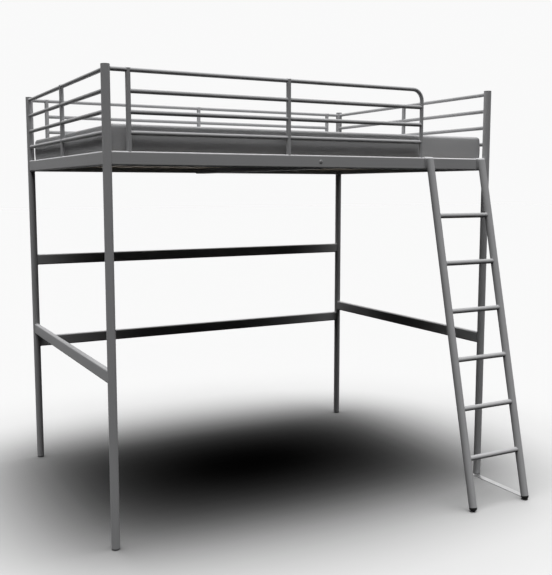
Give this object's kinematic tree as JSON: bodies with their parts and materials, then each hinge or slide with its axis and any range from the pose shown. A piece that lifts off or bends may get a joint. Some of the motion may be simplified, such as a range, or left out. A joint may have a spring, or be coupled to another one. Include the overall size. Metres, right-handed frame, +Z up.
{
  "type": "loft bed",
  "caption": "Tall metal loft bed with a slatted base and mattress, tubular guard rails all round, rear and end stretchers, and a leaning ladder that hooks over the front rail.",
  "frame": {"origin": "on the floor, under the middle of the whole part's box, ladder included", "axes": "+Z up, +X along the bed's length towards the ladder's end, +Y from the ladder's side to the rear"},
  "size_m": [2.08, 1.8754, 2.06],
  "materials": {
    "frame_paint": "satin silver-grey powder coat",
    "post_plastic": "moulded, matt",
    "foot_rubber": "matt",
    "slat_timber": "planed, unfinished",
    "mattress_fabric": "plain knitted cover",
    "stay_steel": "bright flat bar"
  },
  "bodies": {
    "frame": {"post_front_left": "frame_paint", "post_front_right": "frame_paint", "post_rear_left": "frame_paint", "post_rear_right": "frame_paint", "post_cap_front_left": "post_plastic", "post_cap_front_right": "post_plastic", "post_cap_rear_left": "post_plastic", "post_cap_rear_right": "post_plastic", "post_glide_front_left": "post_plastic", "post_glide_front_right": "post_plastic", "post_glide_rear_left": "post_plastic", "post_glide_rear_right": "post_plastic", "side_rail_front": "frame_paint", "side_rail_rear": "frame_paint", "end_rail_left": "frame_paint", "end_rail_right": "frame_paint", "stretcher_left_end": "frame_paint", "stretcher_right_end": "frame_paint", "stretcher_rear_upper": "frame_paint", "stretcher_rear_lower": "frame_paint", "cross_beam": "frame_paint", "slat_panel_left": "slat_timber", "slat_panel_right": "slat_timber", "guard_front_rail_1": "frame_paint", "guard_front_rail_2": "frame_paint", "guard_front_rail_3": "frame_paint", "guard_front_rail_4": "frame_paint", "guard_front_upright_left": "frame_paint", "guard_front_upright_middle": "frame_paint", "guard_rear_rail_1": "frame_paint", "guard_rear_rail_2": "frame_paint", "guard_rear_rail_3": "frame_paint", "guard_rear_rail_4": "frame_paint", "guard_rear_upright_left": "frame_paint", "guard_rear_upright_middle": "frame_paint", "guard_rear_upright_right": "frame_paint", "guard_left_rail_1": "frame_paint", "guard_left_rail_2": "frame_paint", "guard_left_rail_3": "frame_paint", "guard_left_rail_4": "frame_paint", "guard_left_upright": "frame_paint", "guard_right_rail_1": "frame_paint", "guard_right_rail_2": "frame_paint", "guard_right_rail_3": "frame_paint", "guard_right_rail_4": "frame_paint", "guard_right_upright": "frame_paint", "floor_stay": "stay_steel"},
    "ladder": {"ladder_stile_left": "frame_paint", "ladder_stile_right": "frame_paint", "ladder_rung_1": "frame_paint", "ladder_rung_2": "frame_paint", "ladder_rung_3": "frame_paint", "ladder_rung_4": "frame_paint", "ladder_rung_5": "frame_paint", "ladder_rung_6": "frame_paint", "ladder_hook_left": "frame_paint", "ladder_hook_right": "frame_paint", "ladder_foot_left": "foot_rubber", "ladder_foot_right": "foot_rubber"},
    "mattress": {"mattress": "mattress_fabric"}
  },
  "joints": [
    {"name": "ladder_lift", "type": "slide", "parent": "frame", "child": "ladder", "axis": [0, 0, 1], "range_m": [0, 0.06]},
    {"name": "mattress_lift", "type": "slide", "parent": "frame", "child": "mattress", "axis": [0, 0, 1], "range_m": [0, 0.25]}
  ]
}
